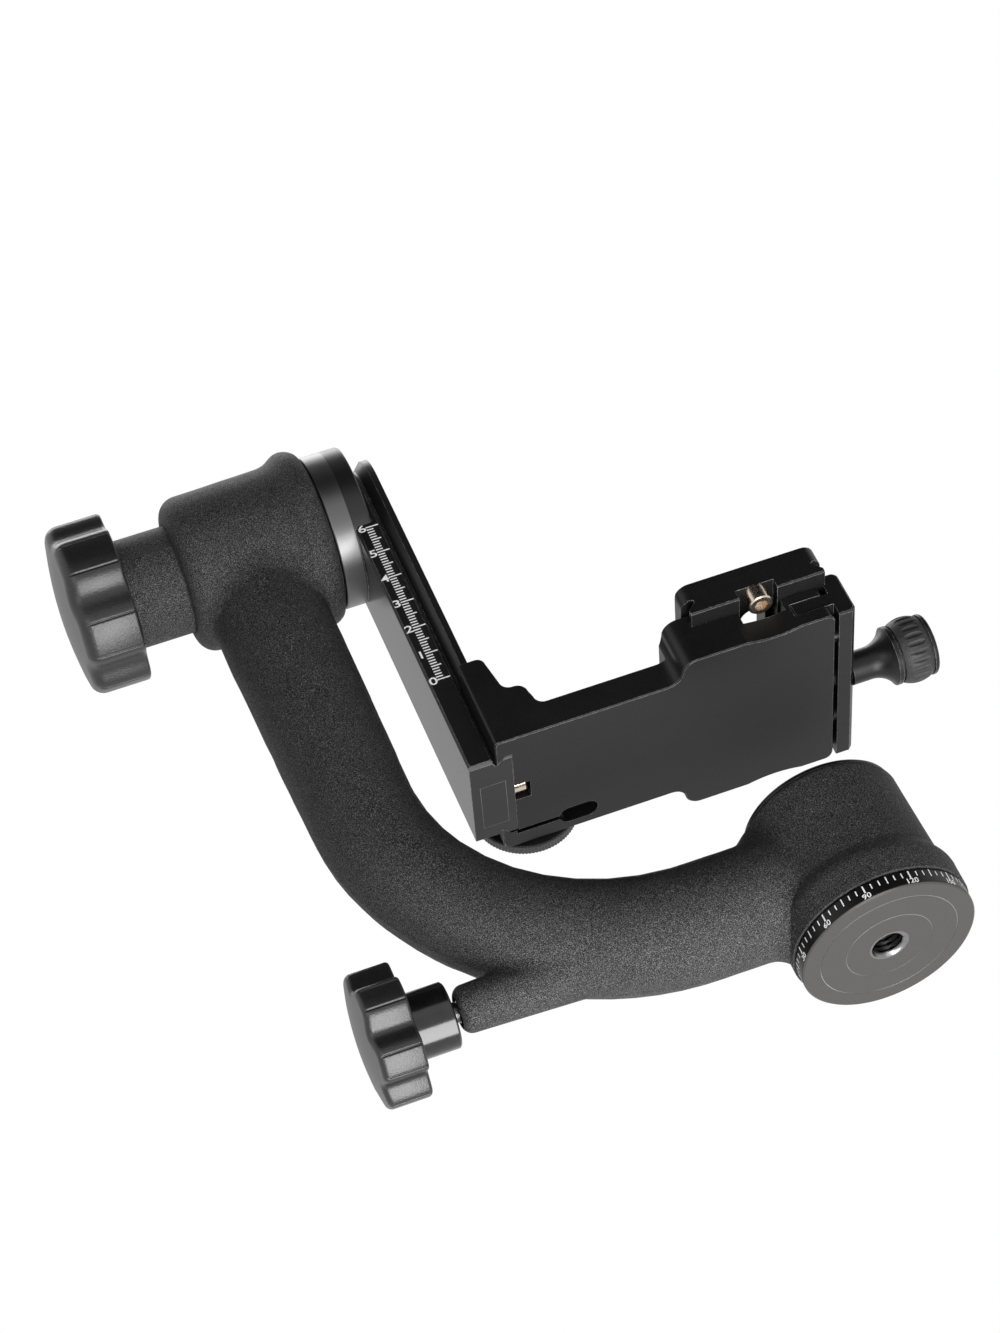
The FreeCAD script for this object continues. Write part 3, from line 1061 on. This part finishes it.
def clamp_jaw():
    top_round = MOVING_JAW_ROUND
    tooth = jaw_tooth(QR_RIGHT_X, -1, MOVING_JAW_TOP_Z)
    points = [(MOVING_JAW_X, MOVING_JAW_BOTTOM_Z), (MOVING_JAW_X, CLAMP_FLOOR_Z)] + tooth
    centre = (JAW_OUT_X - top_round, MOVING_JAW_TOP_Z - top_round)
    points += [(centre[0], MOVING_JAW_TOP_Z), (arc_middle(centre, top_round, 45), (JAW_OUT_X, centre[1])),
               (JAW_OUT_X, MOVING_JAW_BOTTOM_Z + MOVING_JAW_CHAMFER),
               (JAW_OUT_X - MOVING_JAW_CHAMFER, MOVING_JAW_BOTTOM_Z)]
    body = prism_y(outline(*points), -MOVING_JAW_HALF_LEN, MOVING_JAW_HALF_LEN)
    body = body.makeChamfer(MOVING_JAW_EDGE, [e for e in body.Edges if e.BoundBox.YLength < 0.1
                                              and e.BoundBox.XMax > MOVING_JAW_X + MOVING_JAW_EDGE * 2])
    tongues = []
    for y0 in (-MOVING_JAW_HALF_LEN, MOVING_JAW_HALF_LEN - TONGUE_W):
        tongues.append(box(MOVING_JAW_X - TONGUE_LEN, MOVING_JAW_X + 1, y0, y0 + TONGUE_W,
                           TONGUE_BOTTOM_Z, TONGUE_TOP_Z))
    body = union(body, *tongues)
    holes = [cylinder_x(CLAMP_SCREW_R + 0.3, MOVING_JAW_X - 1, JAW_OUT_X + 1, z=CLAMP_SCREW_Z)]
    for y in (-GUIDE_PIN_Y, GUIDE_PIN_Y):
        holes.append(cylinder_x(GUIDE_PIN_R + SEAT, MOVING_JAW_X - 1, MOVING_JAW_X + GUIDE_PIN_SEAT,
                                y, CLAMP_SCREW_Z))
    return body.cut(holes)


def jaw_guide_pins():
    x1 = MOVING_JAW_X + GUIDE_PIN_SEAT
    pins = [cylinder_x(GUIDE_PIN_R, x1 - GUIDE_PIN_LEN + 1.0, x1, y, CLAMP_SCREW_Z)
            for y in (-GUIDE_PIN_Y, GUIDE_PIN_Y)]
    return Part.makeCompound(pins)


def clamp_spindle():
    """Waisted metal spindle with the clamp screw in one piece."""
    waist_x = SPINDLE_X + SPINDLE_LEN * 0.45
    core_x = GRIP_END_X - SEAT
    tip = CLAMP_SCREW_TIP_X
    flare_mid = (waist_x + (RING_X - waist_x) * 0.62, SPINDLE_R + (SPINDLE_RING_R - SPINDLE_R) * 0.30)
    return turned_x(outline((tip, 0), (tip, CLAMP_SCREW_R - 0.6), (tip + 0.6, CLAMP_SCREW_R),
                            (SPINDLE_X, CLAMP_SCREW_R), (SPINDLE_X, SPINDLE_R), (waist_x, SPINDLE_R),
                            (flare_mid, (RING_X, SPINDLE_RING_R)),
                            (RING_X + SPINDLE_RING_T, SPINDLE_RING_R),
                            (RING_X + SPINDLE_RING_T, GRIP_GROOVE_R),
                            (GRIP_X, GRIP_GROOVE_R), (GRIP_X, GRIP_CORE_R), (core_x, GRIP_CORE_R),
                            (core_x, 0)), CLAMP_SCREW_Z)


def clamp_grip():
    """Ribbed rubber grip over the spindle's core."""
    end_r = GRIP_R - GRIP_CROWN
    mid = ((GRIP_X + GRIP_END_X) / 2, GRIP_R)
    body = turned_x(outline((GRIP_X + SEAT, GRIP_CORE_R + SEAT), (GRIP_X + SEAT, end_r),
                            (mid, (GRIP_END_X, end_r)), (GRIP_END_X, GRIP_CORE_R + SEAT)),
                    CLAMP_SCREW_Z)
    grooves = []
    for k in range(GRIP_RIBS):
        angle = 2 * math.pi * k / GRIP_RIBS
        radius = GRIP_R + GRIP_HOLLOW_R - GRIP_RIB_DEPTH
        grooves.append(cylinder_x(GRIP_HOLLOW_R, GRIP_X, GRIP_END_X,
                                  radius * math.cos(angle), CLAMP_SCREW_Z + radius * math.sin(angle)))
    return body.cut(grooves)


def clamp_knob_cap():
    end = GRIP_END_X + GRIP_CAP_T
    return turned_x(outline((GRIP_END_X, 0), (GRIP_END_X, GRIP_CAP_R), (end - 0.8, GRIP_CAP_R),
                            (arc_middle((end - 0.8, GRIP_CAP_R - 0.8), 0.8, 45), (end, GRIP_CAP_R - 0.8)),
                            (end, 0)), CLAMP_SCREW_Z)


# ---------------------------------------------------------------- quick-release plate
QR_SLOT_START_Y = QR_START_Y + QR_SLOT_MARGIN
QR_SLOT_END_Y = QR_START_Y + QR_LEN - QR_SLOT_MARGIN


def slot_cutter(half_w, y0, y1, z0, z1):
    x = CLAMP_CENTRE_X
    return union(box(x - half_w, x + half_w, y0 + half_w, y1 - half_w, z0, z1),
                 cylinder_z(half_w, z0, z1, x, y0 + half_w),
                 cylinder_z(half_w, z0, z1, x, y1 - half_w))


def end_screw_y():
    return (QR_START_Y + END_SCREW_INSET, QR_START_Y + QR_LEN - END_SCREW_INSET)


def qr_plate():
    neck_half = QR_HALF_W - QR_V_DEPTH
    roof_z = QR_ROOF_Z + QR_ROOF
    centre = CLAMP_CENTRE_X
    edge = QR_END_CHAMFER
    half = [(QR_HALF_W, QR_BOTTOM_Z), (QR_HALF_W, QR_LAND_Z), (neck_half, QR_NECK_Z), (neck_half, QR_ROOF_Z),
            (QR_TOP_HALF_W, roof_z), (QR_TOP_HALF_W, QR_TOP_Z - edge), (QR_TOP_HALF_W - edge, QR_TOP_Z)]
    points = [(centre + x, z) for x, z in half] + [(centre - x, z) for x, z in reversed(half)]
    body = prism_y(outline(*points), QR_START_Y, QR_START_Y + QR_LEN)
    body = body.makeChamfer(QR_END_CHAMFER, [e for e in body.Edges if e.BoundBox.YLength < 0.1
                                             and e.BoundBox.ZLength < 0.1 and e.BoundBox.ZMax < QR_TOP_Z - 1])
    corners = []
    for sign in (-1, 1):
        for end, turn in ((QR_START_Y, 1), (QR_START_Y + QR_LEN, -1)):
            x_round = centre + sign * (QR_TOP_HALF_W - QR_CORNER_R)
            y_round = end + turn * QR_CORNER_R
            x0, x1 = sorted((x_round, centre + sign * (QR_TOP_HALF_W + 1)))
            y0, y1 = sorted((y_round, end - turn))
            corner = box(x0, x1, y0, y1, QR_ROOF_Z + QR_ROOF * 0.5, QR_TOP_Z + 1)
            corners.append(corner.cut(cylinder_z(QR_CORNER_R, QR_ROOF_Z, QR_TOP_Z + 2, x_round, y_round)))
    body = body.cut(corners)
    cuts = [slot_cutter(QR_SLOT_HALF_W, QR_SLOT_START_Y, QR_SLOT_END_Y, QR_BOTTOM_Z - 1, QR_TOP_Z + 1),
            slot_cutter(QR_SINK_HALF_W, QR_SLOT_START_Y - QR_SINK_HALF_W + QR_SLOT_HALF_W,
                        QR_SLOT_END_Y + QR_SINK_HALF_W - QR_SLOT_HALF_W,
                        QR_BOTTOM_Z - 1, QR_BOTTOM_Z + QR_SINK_DEPTH)]
    cuts.append(box(centre - QR_GROOVE_HALF_W, centre + QR_GROOVE_HALF_W, QR_START_Y - 1,
                    QR_START_Y + QR_LEN + 1, QR_BOTTOM_Z - 1, QR_BOTTOM_Z + QR_GROOVE_H))
    for y in end_screw_y():
        cuts.append(cylinder_z(END_SCREW_R + SEAT, QR_BOTTOM_Z, QR_TOP_Z - END_SCREW_ROOF, centre, y))
    for pad in pad_boxes(0.0):
        cuts.append(pad)
    return body.cut(cuts)


def pad_boxes(shrink):
    """The two grip strips beside the slot on the plate's top."""
    boxes = []
    y0 = QR_START_Y + QR_PAD_MARGIN
    y1 = QR_START_Y + QR_LEN - QR_PAD_MARGIN
    x_in = QR_SLOT_HALF_W + QR_PAD_INSET
    top = QR_TOP_Z + (QR_PAD_PROUD if shrink else 1.0)
    for sign in (-1, 1):
        x0, x1 = sorted((CLAMP_CENTRE_X + sign * x_in, CLAMP_CENTRE_X + sign * (x_in + QR_PAD_W)))
        boxes.append(box(x0 + shrink, x1 - shrink, y0 + shrink, y1 - shrink, QR_TOP_Z - QR_PAD_T, top))
    return boxes


def qr_grip_strips():
    return Part.makeCompound(pad_boxes(SEAT))


def qr_stop_screws():
    screws = []
    low = QR_BOTTOM_Z - END_SCREW_DROP
    head_top = QR_BOTTOM_Z + QR_GROOVE_H - SEAT
    edge = END_SCREW_EDGE
    for y in end_screw_y():
        head = turned_z(outline((0, low), (END_SCREW_HEAD_R - edge, low), (END_SCREW_HEAD_R, low + edge),
                                (END_SCREW_HEAD_R, head_top), (0, head_top)))
        head.translate(vec(CLAMP_CENTRE_X, y, 0))
        shank = cylinder_z(END_SCREW_R, head_top, QR_TOP_Z - END_SCREW_ROOF - SEAT, CLAMP_CENTRE_X, y)
        socket = hexagon_prism_z(END_SCREW_SOCKET_R, low - 1, low + END_SCREW_SOCKET_DEPTH, CLAMP_CENTRE_X, y)
        screws.append(union(head, shank).cut(socket))
    return Part.makeCompound(screws)


SINK_TOP_Z = QR_BOTTOM_Z + QR_SINK_DEPTH
CLIP_Z = SINK_TOP_Z - CAMERA_CLIP_T - RUN
CAMERA_HEAD_Z = CLIP_Z - RUN - CAMERA_HEAD_T


def camera_screw_clip():
    ring = cylinder_z(CAMERA_CLIP_R, CLIP_Z, CLIP_Z + CAMERA_CLIP_T, CLAMP_CENTRE_X, CAMERA_SCREW_Y)
    return ring.cut(cylinder_z(CAMERA_NECK_R + RUN, CLIP_Z - 1, CLIP_Z + 2, CLAMP_CENTRE_X, CAMERA_SCREW_Y))


def camera_screw():
    x, y = CLAMP_CENTRE_X, CAMERA_SCREW_Y
    head = cylinder_z(CAMERA_HEAD_R, CAMERA_HEAD_Z, CAMERA_HEAD_Z + CAMERA_HEAD_T, x, y)
    thread_z = QR_TOP_Z + CAMERA_NECK_OUT
    neck = cylinder_z(CAMERA_NECK_R, CAMERA_HEAD_Z, thread_z, x, y)
    thread = cylinder_z(CAMERA_SCREW_R, thread_z, thread_z + CAMERA_SCREW_OUT, x, y)
    half_w = COIN_SLOT_W / 2
    coin_slot = box(x - CAMERA_HEAD_R, x + CAMERA_HEAD_R, y - half_w, y + half_w,
                    CAMERA_HEAD_Z - 1, CAMERA_HEAD_Z + COIN_SLOT_DEPTH)
    return union(head, neck, thread).cut(coin_slot)


NODES = [base_plate, pan_spindle, tripod_bush, pan_bearings, pan_nut, base_cap, arm_casting,
         tilt_bearings, tilt_friction_ring, tilt_lock_bush, tilt_brake_pad, tilt_lock_screw,
         tilt_sleeve, tilt_knob, pan_brake_pad, pan_push_rod, pan_lock_screw, pan_collar, pan_knob,
         swing_plate, tilt_shaft, tilt_spacer, tilt_circlip, axle_bolt, height_stop, l_bracket,
         height_lock_washer, height_lock_wheel, height_lock_bolt, clamp_jaw, jaw_guide_pins,
         clamp_spindle, clamp_grip, clamp_knob_cap, qr_plate, qr_grip_strips, qr_stop_screws,
         camera_screw_clip, camera_screw]


def main():
    os.makedirs(OUT, exist_ok=True)
    for make in NODES:
        shape = make()
        shape.exportStep(f"{OUT}/{make.__name__}.step")
        print(make.__name__, shape.isValid(), len(shape.Solids), round(shape.Volume, 1))


main()
